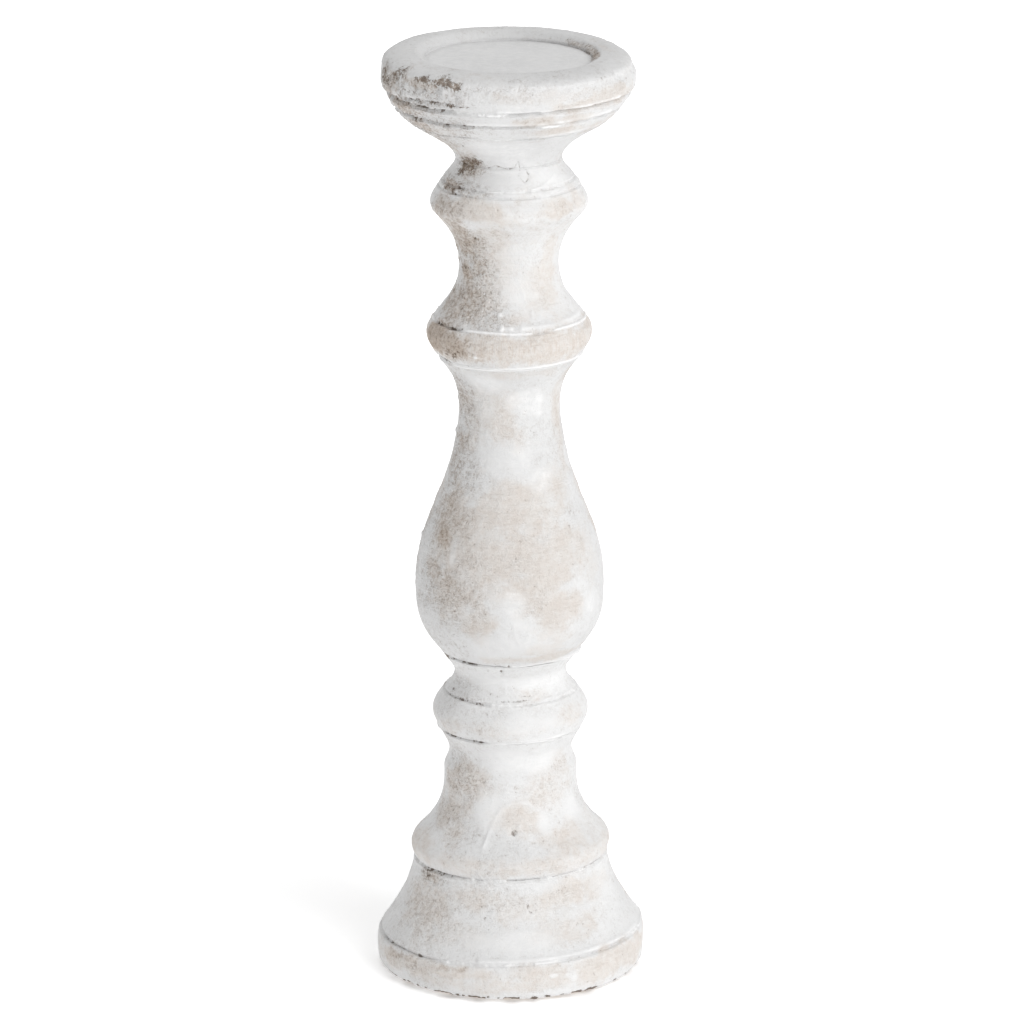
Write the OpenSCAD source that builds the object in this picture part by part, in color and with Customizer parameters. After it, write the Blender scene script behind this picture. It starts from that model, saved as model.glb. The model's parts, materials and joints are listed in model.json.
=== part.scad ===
// Turned wooden pillar candlestick, painted in a worn antique white.
// Six turned sections stand on one another and are held by glued dowels.
// +Z is up, the axis of turning is X = Y = 0, and Z = 0 is the surface it stands on.

/* [Foot] */
// Height of the foot, plinth included
foot_h = 58; // [52:1:66]
// Radius of the plinth at its widest
plinth_r = 69; // [64:1:74]
// Height of the plinth up to its groove
plinth_h = 19; // [16:1:22]
// Radius of the foot at its top
foot_top_r = 49.7; // [47:0.1:52]

/* [Bell] */
// Height of the bell
bell_h = 69.5; // [66:0.5:76]
// Radius of the bead round the bell's lower edge
bell_bead_r = 51.4; // [50:0.1:54]
// Radius of the bell's waist, under its shoulder
bell_waist_r = 34.1; // [32:0.1:36]
// Radius of the neck over the shoulder
bell_neck_r = 31.5; // [29:0.1:33]

/* [Knop] */
// Height of the knop with its neck
knop_h = 40.5; // [39:0.5:44]
// Radius of the knop at its widest
knop_r = 40; // [38:0.5:42]
// Radius of the neck under the baluster
knop_neck_r = 28.5; // [26:0.5:30]

/* [Baluster] */
// Height of the baluster
baluster_h = 157; // [145:1:170]
// Radius of the belly
belly_r = 48.2; // [45:0.1:50]
// Radius of the baluster's neck
baluster_neck_r = 25.6; // [23:0.1:28]

/* [Upper spindle] */
// Height of the upper spindle, with its two rings
spindle_h = 101; // [96:1:108]
// Radius of the lower ring
lower_ring_r = 42; // [40:0.5:44]
// Radius of the spool between the rings
spool_r = 25.1; // [22:0.1:28]
// Radius of the upper ring
upper_ring_r = 39.8; // [38:0.1:42]

/* [Candle pan] */
// Height of the pan, from its neck to the rim
pan_h = 54; // [51:1:58]
// Radius of the pan at its widest
pan_r = 64.2; // [62:0.1:68]
// Radius of the neck under the pan
pan_neck_r = 26.8; // [25:0.1:29]
// Radius of the floor of the recess that the candle stands in
recess_r = 42.5; // [40:0.5:45]
// Radius of that recess at its mouth, where its wall has flared out
recess_mouth_r = 46.8; // [45.5:0.1:50]
// Depth of that recess
recess_depth = 4.5; // [3.5:0.5:7]

/* [Dowels] */
// Diameter of the dowels
dowel_d = 16; // [12:1:18]
// Depth of each dowel's hole
dowel_hole = 24; // [18:1:24]
// Gap between dowel and hole, which the glue fills
glue_gap = 0.1; // [0.05:0.05:0.2]

/* [Felt pads] */
// Diameter of a pad
pad_d = 18; // [12:1:22]
// Thickness of a pad
pad_t = 2; // [1:0.5:3]
// Distance of the pads from the axis
pad_ring_r = 48; // [35:1:52]

/* [Hidden] */

// Each section stands on the one below it, and the foot stands on the pads.
foot_z = pad_t;
bell_z = foot_z + foot_h;
knop_z = bell_z + bell_h;
baluster_z = knop_z + knop_h;
spindle_z = baluster_z + baluster_h;
pan_z = spindle_z + spindle_h;

// Radii where two sections meet
bell_joint_r = 37;
knop_joint_r = 34.9;
baluster_joint_r = 37;

joint_chamfer = 0.6;    // small bevel on both arrises of a joint, which leaves a V line
groove = 1.1;           // depth of the decorative V grooves
plinth_arris = 2.6;     // rounding under the plinth
rim_arris = 5;          // rounding of the pan's outer rim
recess_arris = 1;       // rounding of the recess's mouth
recess_wall_h = 1.5;    // upright part of the recess's wall, below its flare
dowel_bevel = 1;        // bevel on a dowel's ends
end_gap = 1;            // room for glue past each end of a dowel
curve_step = 3.2;       // longest stretch of a curve drawn as one straight line
arris_steps = 4;        // lines in a rounded arris
overlap = 1;            // how far a cut runs past the surface it opens

$fn = 96;

paint = [0.90, 0.885, 0.87];
bare_wood = [0.72, 0.56, 0.38];
felt = [0.24, 0.21, 0.19];

// A turned curve runs through stations, each [height, radius, change of radius with height].
function curve_r(a, b, z) =
    let (h = b[0] - a[0], t = (z - a[0]) / h)
    pow(1 - t, 2) * ((1 + 2 * t) * a[1] + t * h * a[2])
    + t * t * ((3 - 2 * t) * b[1] - (1 - t) * h * b[2]);

// The points of one stretch, without its last
function stretch(a, b) =
    let (steps = ceil((b[0] - a[0]) / curve_step))
    [for (k = [0 : steps - 1])
        let (z = a[0] + (b[0] - a[0]) * k / steps)
        [curve_r(a, b, z), z]];

function turned_curve(stations) =
    let (last = stations[len(stations) - 1])
    concat(
        [for (i = [0 : len(stations) - 2]) each stretch(stations[i], stations[i + 1])],
        [[last[1], last[0]]]
    );

// A quarter of an ellipse about (r, z), from angle a0 to a0 + 90, half axes dr and dz
function arris(r, z, dr, dz, a0) =
    [for (k = [0 : arris_steps])
        let (a = a0 + 90 * k / arris_steps)
        [r + dr * cos(a), z + dz * sin(a)]];

// A V groove in the profile, cut by one corner of a diamond
module v_groove(r, z, depth = groove) {
    translate([r, z])
        circle(r = depth, $fn = 4);
}

// The profile from the axis out to an outline, with V grooves at [height, radius]
module half_profile(outline, height, grooves = []) {
    difference() {
        polygon(concat([[0, 0]], outline, [[0, height]]));
        for (g = grooves)
            v_groove(g[1], g[0]);
    }
}

// A section turned about the axis, with dowel holes in its foot and its head
module section(z, height, outline, grooves = [], hole_below = true, hole_above = true) {
    translate([0, 0, z])
        difference() {
            rotate_extrude()
                half_profile(outline, height, grooves);
            if (hole_below)
                translate([0, 0, -overlap])
                    cylinder(d = dowel_d, h = dowel_hole + overlap);
            if (hole_above)
                translate([0, 0, height - dowel_hole])
                    cylinder(d = dowel_d, h = dowel_hole + overlap);
        }
}

module base_foot() {
    cove_z = plinth_h + 0.8;
    outline = concat(
        arris(plinth_r - 0.8 - plinth_arris, plinth_arris, plinth_arris, plinth_arris, -90),
        turned_curve([
            [plinth_arris + 0.4, plinth_r - 0.75, 0.15],
            [0.58 * plinth_h, plinth_r, 0],
            [plinth_h - 0.9, plinth_r - 0.9, -0.35]
        ]),
        [[plinth_r - 2.7, plinth_h]],
        turned_curve([
            [cove_z, plinth_r - 2.1, -0.65],
            [0.59 * foot_h, foot_top_r + 7.9, -0.55],
            [foot_h - joint_chamfer, foot_top_r, -0.12]
        ]),
        [[foot_top_r - joint_chamfer, foot_h]]
    );
    color(paint)
        section(foot_z, foot_h, outline, hole_below = false);
}

module base_bell() {
    outline = concat(
        [[bell_bead_r - 1.8 - joint_chamfer, 0]],
        turned_curve([
            [joint_chamfer, bell_bead_r - 1.8, 0.35],
            [0.1 * bell_h, bell_bead_r, 0.05],
            [0.145 * bell_h, bell_bead_r - 1.3, -0.9],
            [0.23 * bell_h, bell_waist_r + 10.1, -0.9],
            [0.37 * bell_h, bell_waist_r + 3.6, -0.47],
            [0.6 * bell_h, bell_waist_r, -0.03],
            [0.695 * bell_h, bell_waist_r + 0.1, -0.05],
            [0.72 * bell_h, bell_waist_r - 0.6, -0.5],
            [0.8 * bell_h, bell_neck_r, -0.1],
            [0.84 * bell_h, bell_neck_r + 0.1, 0.15],
            [0.92 * bell_h, bell_joint_r - 3, 0.6],
            [bell_h - joint_chamfer, bell_joint_r - 0.2, 0.55]
        ]),
        [[bell_joint_r - 0.2 - joint_chamfer, bell_h]]
    );
    color(paint)
        section(bell_z, bell_h, outline);
}

module lower_knop() {
    groove_z = 0.485 * knop_h;
    outline = concat(
        [[bell_joint_r - 0.2 - joint_chamfer, 0]],
        turned_curve([
            [joint_chamfer, bell_joint_r + 0.3, 0.6],
            [0.19 * knop_h, knop_r, 0],
            [0.36 * knop_h, knop_r - 2.2, -0.65],
            [0.56 * knop_h, knop_neck_r + 2.6, -0.85],
            [0.7 * knop_h, knop_neck_r, 0],
            [0.8 * knop_h, knop_neck_r + 0.7, 0.45],
            [0.86 * knop_h, knop_joint_r - 3.8, 0.8],
            [knop_h - joint_chamfer, knop_joint_r - 0.3, 0.6]
        ]),
        [[knop_joint_r - 0.3 - joint_chamfer, knop_h]]
    );
    color(paint)
        section(knop_z, knop_h, outline, [[groove_z, knop_neck_r + 5.6]]);
}

module baluster() {
    outline = concat(
        [[knop_joint_r - 0.3 - joint_chamfer, 0]],
        turned_curve([
            [joint_chamfer, knop_joint_r + 0.2, 0.9],
            [0.064 * baluster_h, belly_r - 5.6, 0.62],
            [0.223 * baluster_h, belly_r, 0],
            [0.395 * baluster_h, belly_r - 4.3, -0.32],
            [0.56 * baluster_h, baluster_neck_r + 8.5, -0.36],
            [0.69 * baluster_h, baluster_neck_r + 2.6, -0.2],
            [0.828 * baluster_h, baluster_neck_r, 0],
            [0.917 * baluster_h, baluster_neck_r + 2.8, 0.42],
            [baluster_h - joint_chamfer, baluster_joint_r - 0.3, 0.78]
        ]),
        [[baluster_joint_r - 0.3 - joint_chamfer, baluster_h]]
    );
    color(paint)
        section(baluster_z, baluster_h, outline);
}

module upper_spindle() {
    grooves = [
        [0.187 * spindle_h, lower_ring_r - 3.7],
        [0.87 * spindle_h, upper_ring_r - 4.9],
        [0.896 * spindle_h, upper_ring_r - 6.9]
    ];
    outline = concat(
        [[baluster_joint_r - 0.3 - joint_chamfer, 0]],
        turned_curve([
            [joint_chamfer, baluster_joint_r + 0.3, 0.7],
            [0.06 * spindle_h, lower_ring_r - 1.2, 0.5],
            [0.114 * spindle_h, lower_ring_r, 0],
            [0.168 * spindle_h, lower_ring_r - 2.1, -0.72],
            [0.248 * spindle_h, spool_r + 8.5, -0.8],
            [0.347 * spindle_h, spool_r + 2.2, -0.38],
            [0.465 * spindle_h, spool_r, 0],
            [0.594 * spindle_h, spool_r + 2.9, 0.45],
            [0.703 * spindle_h, upper_ring_r - 4.6, 0.9],
            [0.774 * spindle_h, upper_ring_r, 0],
            [0.842 * spindle_h, upper_ring_r - 2.8, -0.75],
            [0.92 * spindle_h, pan_neck_r + 5, -0.85],
            [spindle_h - joint_chamfer, pan_neck_r, -0.15]
        ]),
        [[pan_neck_r - joint_chamfer, spindle_h]]
    );
    color(paint)
        section(spindle_z, spindle_h, outline, grooves);
}

module candle_pan() {
    grooves = [
        [0.37 * pan_h, pan_r - 14.3],
        [0.517 * pan_h, pan_r - 6.6],
        [0.656 * pan_h, pan_r - 2]
    ];
    outline = concat(
        [[pan_neck_r - joint_chamfer, 0]],
        turned_curve([
            [joint_chamfer, pan_neck_r, 0.15],
            [0.11 * pan_h, pan_neck_r + 3, 0.85],
            [0.26 * pan_h, pan_r - 23.8, 1.7],
            [0.37 * pan_h, pan_r - 14.3, 1.45],
            [0.5 * pan_h, pan_r - 7.2, 0.75],
            [0.74 * pan_h, pan_r, 0.1],
            [pan_h - rim_arris - 1, pan_r - 1, -0.25]
        ]),
        arris(pan_r - 1.2 - rim_arris, pan_h - rim_arris, rim_arris, rim_arris, 0)
    );
    color(paint)
        difference() {
            section(pan_z, pan_h, outline, grooves, hole_above = false);
            translate([0, 0, pan_z + pan_h])
                rotate_extrude()
                    recess_profile();
        }
}

// What the recess takes away, in profile, with Z = 0 at the rim: an upright wall, a flare and a rounded mouth
module recess_profile() {
    lip = [for (k = [0 : arris_steps])
        let (a = 180 - 90 * k / arris_steps)
        [recess_mouth_r + recess_arris * (1 + cos(a)), recess_arris * (sin(a) - 1)]];
    polygon(concat(
        [[0, -recess_depth], [recess_r, -recess_depth], [recess_r, recess_wall_h - recess_depth]],
        lip,
        [[recess_mouth_r + recess_arris, overlap], [0, overlap]]
    ));
}

// A dowel from z_low to z_high, with bevelled ends and room for glue past them
module dowel(z_low, z_high) {
    r = dowel_d / 2 - glue_gap;
    length = z_high - z_low - 2 * end_gap;
    color(bare_wood)
        translate([0, 0, z_low + end_gap])
            rotate_extrude()
                polygon([
                    [0, 0], [r - dowel_bevel, 0], [r, dowel_bevel],
                    [r, length - dowel_bevel], [r - dowel_bevel, length], [0, length]
                ]);
}

module foot_dowel() {
    dowel(bell_z - dowel_hole, bell_z + dowel_hole);
}

// The knop is bored right through, so its dowel joins three sections
module knop_dowel() {
    dowel(knop_z - dowel_hole, baluster_z + dowel_hole);
}

module spindle_dowel() {
    dowel(spindle_z - dowel_hole, spindle_z + dowel_hole);
}

module pan_dowel() {
    dowel(pan_z - dowel_hole, pan_z + dowel_hole);
}

module felt_pad(number) {
    color(felt)
        rotate([0, 0, 45 + 90 * (number - 1)])
            translate([pad_ring_r, 0, 0])
                cylinder(d = pad_d, h = pad_t);
}

base_foot();
base_bell();
lower_knop();
baluster();
upper_spindle();
candle_pan();
foot_dowel();
knop_dowel();
spindle_dowel();
pan_dowel();
felt_pad(1);  // felt_pad_1
felt_pad(2);  // felt_pad_2
felt_pad(3);  // felt_pad_3
felt_pad(4);  // felt_pad_4
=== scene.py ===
"""A turned wooden candlestick in worn antique white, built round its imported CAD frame."""

import json
import math
from types import SimpleNamespace

import bpy
import numpy as np
from mathutils import Matrix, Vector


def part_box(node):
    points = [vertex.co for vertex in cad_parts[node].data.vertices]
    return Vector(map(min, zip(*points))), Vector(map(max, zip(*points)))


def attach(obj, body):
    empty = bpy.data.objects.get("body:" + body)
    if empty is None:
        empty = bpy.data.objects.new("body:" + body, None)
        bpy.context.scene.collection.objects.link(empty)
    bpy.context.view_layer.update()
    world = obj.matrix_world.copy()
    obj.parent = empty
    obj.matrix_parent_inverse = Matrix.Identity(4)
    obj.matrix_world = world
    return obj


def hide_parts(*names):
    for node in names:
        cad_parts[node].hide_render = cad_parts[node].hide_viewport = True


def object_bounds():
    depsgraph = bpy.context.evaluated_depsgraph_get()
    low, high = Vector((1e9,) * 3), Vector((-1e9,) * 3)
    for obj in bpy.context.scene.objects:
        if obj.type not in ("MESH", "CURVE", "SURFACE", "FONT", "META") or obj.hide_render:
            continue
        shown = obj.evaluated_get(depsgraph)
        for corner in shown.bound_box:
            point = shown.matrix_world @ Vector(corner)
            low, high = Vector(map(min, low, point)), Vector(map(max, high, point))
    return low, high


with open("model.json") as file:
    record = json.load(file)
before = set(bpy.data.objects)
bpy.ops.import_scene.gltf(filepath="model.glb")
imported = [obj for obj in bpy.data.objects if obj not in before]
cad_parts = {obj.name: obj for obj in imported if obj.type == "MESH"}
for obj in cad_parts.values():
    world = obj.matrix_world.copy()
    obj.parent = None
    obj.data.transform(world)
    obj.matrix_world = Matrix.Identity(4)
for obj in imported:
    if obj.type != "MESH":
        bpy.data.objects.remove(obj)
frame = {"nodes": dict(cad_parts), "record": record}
cad_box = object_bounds()

MM = 0.001

# Mesh density, in mm
STEP = 0.85
FINE_STEP = 0.4
FINE_REACH = 2.8
ACROSS_STEP = 0.85

SECTIONS = ["base_foot", "base_bell", "lower_knop", "baluster", "upper_spindle", "candle_pan"]
SLOTS = {
    "base_foot": "foot_paint",
    "base_bell": "bell_paint",
    "lower_knop": "knop_paint",
    "baluster": "baluster_paint",
    "upper_spindle": "spindle_paint",
    "candle_pan": "pan_paint",
}

DOWELS = ["foot_dowel", "knop_dowel", "spindle_dowel", "pan_dowel"]
PADS = 4

# Painted shade: how light each section's paint is, against the base's, darkening the upper sections that the
# lamps light more
PAINTED_SHADE_TONE = {"candle_pan": 0.965, "upper_spindle": 0.985, "baluster": 0.965}

# The turner's V grooves: height over the floor, depth and half width in mm, the azimuths between
# which the paint in it is cracked open, and how much of it a bead of paint fills.
# Azimuths are in degrees: 0 faces front, positive to the right.
GROOVES = {
    "base_foot": [(20.9, 1.5, 1.3, -78, -42, 0.3)],
    "base_bell": [],
    "lower_knop": [(149.1, 1.0, 1.2, -72, -22, 0.4)],
    "baluster": [],
    "upper_spindle": [
        (345.9, 1.4, 1.5, -74, -40, 0.5), (414.4, 0.9, 1.0, -60, -46, 0.1), (417.6, 1.0, 1.1, -62, -44, 0.2),
    ],
    "candle_pan": [
        (448.0, 1.6, 1.3, -96, -26, 0.2), (455.9, 2.1, 1.5, -96, -20, 0.2), (463.4, 2.3, 1.7, -96, -30, 0.2),
    ],
}
# The V line at the foot of each section, in the same way
JOINTS = {
    "base_bell": (1.3, 1.3, -64, -38, 0.1),
    "lower_knop": (1.2, 1.2, -68, -20, 0.5),
    "baluster": (1.4, 1.3, -84, -30, 0.4),
    "upper_spindle": (1.6, 2.4, -86, -56, 1.0),
    "candle_pan": (0.3, 1.0, 0, 0, -1.0),
}
# How far the turned rings tip over: at some heights, mm of rise for each mm to the right and to the back
TILT = [
    (0, 0.0, 0.0), (19, 0.03, 0.0), (60, 0.022, 0.0), (130, 0.008, 0.0), (440, 0.008, 0.0), (468, 0.004, 0.0),
    (482, -0.016, 0.016),
]

# Places on the surface: azimuth, height, half width and half height in mm, and strength from 0 to 1.
# Paint rubbed or crumbled through to brown wood
BARE = [
    (-74, 474, 7, 6, 0.75), (-60, 477, 7, 3, 0.8), (-42, 478, 9, 2.4, 0.9), (-30, 478, 7, 2.6, 1.0),
    (-25, 477, 4, 2.6, 1.0), (-66, 465.6, 6, 1.6, 0.8), (-48, 467.4, 5, 1.1, 0.8),
    (-37, 467.8, 4, 1.0, 0.8), (-27, 467, 3, 1.0, 0.8), (-20, 467, 4, 0.8, 0.7),
    (-58, 456, 10, 1.6, 0.5), (-50, 471, 8, 2, 0.5), (-48, 428, 6, 3.6, 0.95), (-38, 430, 5, 3, 0.75),
    (-58, 424, 4, 2, 0.8), (-62, 416, 4, 1.4, 0.8), (-55, 416, 5, 1.2, 0.6), (-56, 374, 2.6, 4, 0.6),
    (-46, 333, 7, 3, 0.5), (-36, 336, 4, 3.5, 0.3), (-60, 57, 7, 2, 0.42), (-48, 57.5, 4, 1.4, 0.38),
    (-68, 328.6, 8, 1.3, 1.0), (-66, 152, 4, 1.6, 0.5), (-72, 168.6, 6, 1.4, 0.9),
    (168, 470, 12, 4, 0.7), (205, 428, 6, 4, 0.8), (150, 336, 9, 4, 0.5), (120, 478, 8, 1.6, 0.7),
    (232, 149, 7, 2, 0.5), (212, 56, 10, 3, 0.5), (128, 20, 9, 3, 0.45), (100, 360, 4, 4, 0.5),
]
# Soft brown stains where the wood shows through rubbed paint
STAIN = [
    (-70, 472, 16, 8, 0.6), (-46, 476, 18, 4, 0.55), (-62, 462, 18, 4, 0.5), (-52, 452, 16, 4, 0.5),
    (-56, 441, 12, 6, 0.4), (-46, 428, 9, 6, 0.7), (-60, 417, 8, 3, 0.7), (-56, 408, 11, 6, 0.55),
    (-54, 388, 11, 18, 0.6), (-56, 373, 5, 7, 0.9), (-56, 356, 16, 9, 0.5), (-64, 337, 18, 9, 1.0),
    (-42, 337, 12, 7, 0.9), (-22, 336, 10, 6, 0.4), (-60, 312, 10, 14, 0.3), (-66, 276, 9, 26, 0.35),
    (-56, 244, 12, 18, 0.4), (-52, 236, 6, 6, 0.8), (-48, 214, 16, 12, 0.35), (-52, 104, 14, 10, 0.3),
    (-46, 80, 9, 8, 0.25), (-56, 57, 10, 3, 0.5), (-56, 42, 12, 9, 0.2), (-20, 50, 7, 5, 0.12),
    (-56, 17, 12, 3, 0.55), (-26, 18, 12, 2, 0.45), (13, 459, 7, 2, 0.35), (54, 114, 6, 3, 0.2),
    (176, 466, 18, 6, 0.6), (205, 427, 9, 6, 0.7), (150, 338, 20, 7, 0.7), (190, 236, 16, 18, 0.5),
    (130, 212, 14, 14, 0.35), (160, 100, 12, 11, 0.35), (212, 52, 16, 9, 0.4), (240, 16, 20, 4, 0.5),
    (232, 372, 8, 9, 0.5), (104, 360, 6, 8, 0.4),
]
# Thin paint that lets the beige of the wood through; one patch is painted shade
THIN = [
    (13, 459, 11, 3, 1.0), (32, 458, 14, 3, 0.9), (36, 466, 16, 3.5, 1.0), (56, 468, 16, 6, 1.0),
    (28, 452, 18, 3, 0.9), (20, 472, 26, 4, 0.5), (58, 450, 12, 4, 0.7), (-60, 462, 20, 5, 0.5),
    (-46, 450, 18, 5, 0.5), (-54, 438, 14, 6, 0.5), (40, 408, 14, 6, 0.9), (62, 410, 9, 8, 0.6),
    (-30, 408, 26, 6, 1.0), (-56, 396, 14, 18, 0.9), (-12, 404, 12, 5, 0.7), (-18, 388, 14, 14, 0.7),
    (49, 382, 6, 18, 0.7), (42, 364, 12, 14, 0.7), (24, 366, 5, 9, 0.5), (-24, 370, 14, 12, 0.7),
    (-40, 358, 20, 12, 0.8), (4, 352, 9, 4, 0.5), (0, 338, 90, 8, 1.0), (60, 336, 20, 8, 0.8),
    (-60, 336, 20, 8, 0.9), (4, 323, 22, 4, 0.5), (-8, 300, 10, 18, 0.7), (68, 296, 7, 26, 0.7),
    (-44, 300, 14, 20, 0.6), (8, 288, 8, 8, 0.5), (44, 262, 12, 14, 0.7), (4, 252, 28, 14, 0.9),
    (18, 228, 32, 22, 1.0), (30, 204, 22, 14, 0.9), (-14, 230, 26, 24, 0.9), (-36, 214, 20, 20, 0.9),
    (-46, 240, 18, 24, 0.9), (-20, 196, 12, 9, 0.8), (22, 180, 12, 4, 0.7), (36, 186, 9, 4, 0.5),
    (64, 226, 9, 18, 0.5), (-18, 137, 16, 5, 0.4), (12, 138, 12, 4, 0.3), (56, 141, 12, 6, 0.5),
    (24, 152, 9, 3.5, 0.5), (-50, 136, 12, 5, 0.5), (54, 112, 8, 8, 0.55), (36, 102, 16, 11, 0.6),
    (-44, 106, 16, 10, 0.8), (-58, 90, 14, 14, 0.8), (4, 89, 12, 8, 0.85), (44, 77, 16, 7, 0.7),
    (-44, 80, 12, 8, 0.7), (0, 67, 120, 5.5, 0.6), (90, 66, 60, 7, 0.5), (-70, 72, 20, 6, 0.6),
    (36, 50, 14, 7, 0.9), (58, 50, 14, 6, 0.7), (-52, 42, 22, 14, 0.7), (-20, 50, 12, 7, 0.7),
    (8, 46, 18, 8, 0.5), (-28, 34, 18, 7, 0.5), (30, 34, 18, 7, 0.6), (-54, 14, 22, 6, 0.9),
    (-22, 16, 22, 5, 0.8), (12, 15, 24, 5, 0.8), (46, 14, 26, 8, 1.0), (66, 12, 20, 7, 1.0),
    # On the next line, (34, 175, 34, 2.6, 0.8) is painted shade on the downward face above the baluster's
    # bead
    (0, 10, 60, 5, 0.65), (34, 175, 34, 2.6, 0.8), (180, 458, 60, 6, 0.7), (140, 400, 20, 14, 0.8),
    (215, 362, 14, 16, 0.7), (180, 338, 140, 7, 0.9), (120, 240, 26, 22, 0.9), (200, 220, 28, 26, 0.9),
    (250, 250, 20, 26, 0.6), (180, 140, 30, 6, 0.6), (150, 84, 24, 14, 0.7), (220, 68, 60, 6, 0.7),
    (120, 40, 26, 12, 0.7), (200, 44, 24, 12, 0.7), (180, 14, 100, 6, 0.8), (250, 300, 10, 20, 0.7),
    (100, 14, 30, 6, 0.7),
]
# Gritty, crumbled plaster
SPECK = [
    (-62, 470, 26, 9, 1.0), (-38, 471, 24, 7, 1.0), (-58, 456, 28, 12, 1.0), (-30, 453, 22, 8, 0.6),
    (-14, 476, 9, 2, 0.5), (4, 477, 9, 1.5, 0.4), (24, 470, 44, 8, 0.15), (-52, 443, 18, 8, 0.85),
    (-48, 428, 12, 6, 0.9), (-50, 418, 18, 3.5, 0.9), (-24, 417, 9, 2, 0.5), (-55, 404, 16, 9, 0.7),
    (-50, 384, 15, 22, 1.0), (-16, 386, 16, 16, 0.3), (-44, 358, 22, 12, 1.0), (-20, 352, 16, 7, 0.8),
    (-26, 368, 10, 8, 0.4), (-50, 338, 22, 9, 0.6), (-12, 338, 20, 7, 0.2), (-56, 306, 14, 22, 0.85),
    (-64, 276, 10, 26, 0.8), (-44, 266, 14, 12, 0.6), (14, 300, 18, 18, 0.2), (-54, 244, 18, 20, 0.6),
    (-44, 212, 26, 18, 0.65), (-28, 196, 12, 9, 0.4), (-54, 184, 16, 8, 0.6), (-56, 156, 14, 5, 0.5),
    (-40, 150, 16, 3, 0.4), (-62, 140, 10, 6, 0.3), (-60, 118, 12, 8, 0.5), (-46, 104, 16, 10, 0.6),
    (-60, 88, 16, 12, 0.55), (-40, 80, 14, 9, 0.45), (-54, 56, 14, 4, 0.7), (-50, 38, 24, 14, 0.45),
    (-20, 50, 12, 8, 0.25), (-54, 14, 18, 5, 0.5), (54, 114, 9, 5, 0.3), (60, 286, 6, 16, 0.2),
    (36, 102, 12, 9, 0.2), (-28, 34, 16, 7, 0.25), (180, 470, 40, 8, 0.8), (200, 426, 16, 8, 0.9),
    (150, 360, 16, 14, 0.8), (190, 240, 24, 26, 0.7), (225, 150, 20, 6, 0.6), (160, 100, 14, 14, 0.6),
    (210, 44, 24, 14, 0.6), (265, 230, 14, 30, 0.6),
]
# Thick white paint, dragged or dropped on
WHITE = [
    (-8, 354, 1.6, 1.2, 1.0), (-6, 348, 1.4, 1.6, 1.0), (1, 348, 2.6, 1.0, 0.9),
    (-24, 334, 1.2, 1.2, 1.0), (27, 362, 4, 2.4, 0.5), (19, 14, 2.4, 1.2, 0.65),
    (25, 13.4, 1.8, 1.2, 0.65), (-40, 230, 2.4, 9, 0.5), (2, 206, 7, 8, 0.5), (6, 196, 10, 6, 0.45),
    (-8, 212, 5, 6, 0.35), (34, 268, 10, 8, 0.45), (66, 226, 6, 16, 0.3), (58, 200, 9, 8, 0.5),
    (10, 428, 16, 7, 0.45), (0, 422, 22, 3, 0.35), (18, 386, 9, 14, 0.3), (2, 384, 7, 9, 0.4),
    (6, 364, 9, 8, 0.45), (22, 354, 8, 4, 0.35), (-24, 318, 16, 7, 0.5), (-28, 304, 7, 9, 0.4),
    (16, 306, 12, 9, 0.5), (12, 278, 14, 9, 0.4), (-14, 276, 9, 8, 0.4), (0, 184, 34, 8, 0.35),
    (-50, 186, 16, 6, 0.3), (10, 118, 20, 8, 0.5), (-18, 92, 8, 10, 0.5), (28, 86, 4, 6, 0.5),
    (62, 90, 8, 7, 0.5), (28, 11, 2.4, 3, 0.7), (66, 50, 9, 12, 0.4), (0, 31, 30, 5, 0.5),
    (6, 466, 16, 4, 0.4), (22, 472, 15, 4, 0.3), (-2, 440, 24, 6, 0.5), (40, 423, 9, 4, 0.5),
    (0, 160, 30, 4, 0.5), (10, 141, 16, 5, 0.4), (20, 56, 10, 3, 0.4), (200, 440, 30, 8, 0.6),
    (140, 290, 12, 20, 0.6), (230, 200, 16, 12, 0.6), (170, 118, 20, 8, 0.6), (150, 60, 14, 6, 0.5),
    (240, 100, 10, 12, 0.5),
]
# Lumps of paint and plaster: azimuth, height, radius and thickness in mm
LUMPS = [
    (-8, 354, 1.2, 1.1), (-6, 348, 1.2, 1.1), (1, 348, 1.0, 0.8), (-24, 334, 1.0, 0.9),
    (-84, 478, 2.2, 0.9), (-76, 470, 1.6, 0.8), (84, 473, 2.6, 0.7), (-88, 232, 1.6, 1.0),
    (-80, 304, 1.4, 0.7), (-90, 286, 1.5, 0.8), (-66, 346, 1.2, 0.6), (56, 349, 1.5, 0.5),
    (-48, 468, 1.4, 0.6), (-20, 83, 1.2, 0.4), (7, 85.2, 1.3, 0.7), (28, 14, 1.5, 0.4),
    (-30, 474, 2.0, 0.6), (-62, 468, 2.4, 0.8), (-70, 475, 1.8, 0.8), (-52, 473, 1.5, 0.6),
    (-42, 470, 1.7, 0.6), (-68, 460, 1.6, 0.6), (-36, 465, 1.3, 0.5), (140, 470, 2.2, 0.8),
    (200, 474, 1.8, 0.7), (170, 348, 1.4, 0.6), (230, 236, 1.6, 0.7),
]
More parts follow.
